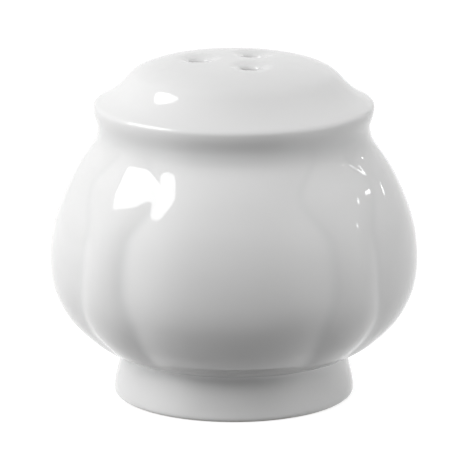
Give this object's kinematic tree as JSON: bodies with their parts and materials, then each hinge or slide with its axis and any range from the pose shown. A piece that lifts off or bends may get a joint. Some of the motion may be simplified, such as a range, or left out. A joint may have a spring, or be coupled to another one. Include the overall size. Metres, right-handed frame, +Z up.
{
  "type": "salt shaker",
  "caption": "Squat lobed porcelain salt shaker with a domed pouring top and a round foot, filled from below through a hole closed by a soft pull-out stopper.",
  "frame": {"origin": "on the table under the middle of the foot", "axes": "+Z up along the axis of the casting; X and Y run through the crests of the wide lobes, with -Y to the front"},
  "size_m": [0.066, 0.066, 0.0613],
  "materials": {
    "porcelain": "white porcelain under a clear glossy glaze, bare on the standing ring",
    "stopper_plastic": "soft milky plastic, satin"
  },
  "bodies": {
    "shaker": {"shaker_body": "porcelain"},
    "stopper": {"stopper": "stopper_plastic"}
  },
  "joints": [
    {"name": "stopper_pull", "type": "slide", "parent": "shaker", "child": "stopper", "axis": [0, 0, -1], "range_m": [0, 0.025]}
  ]
}
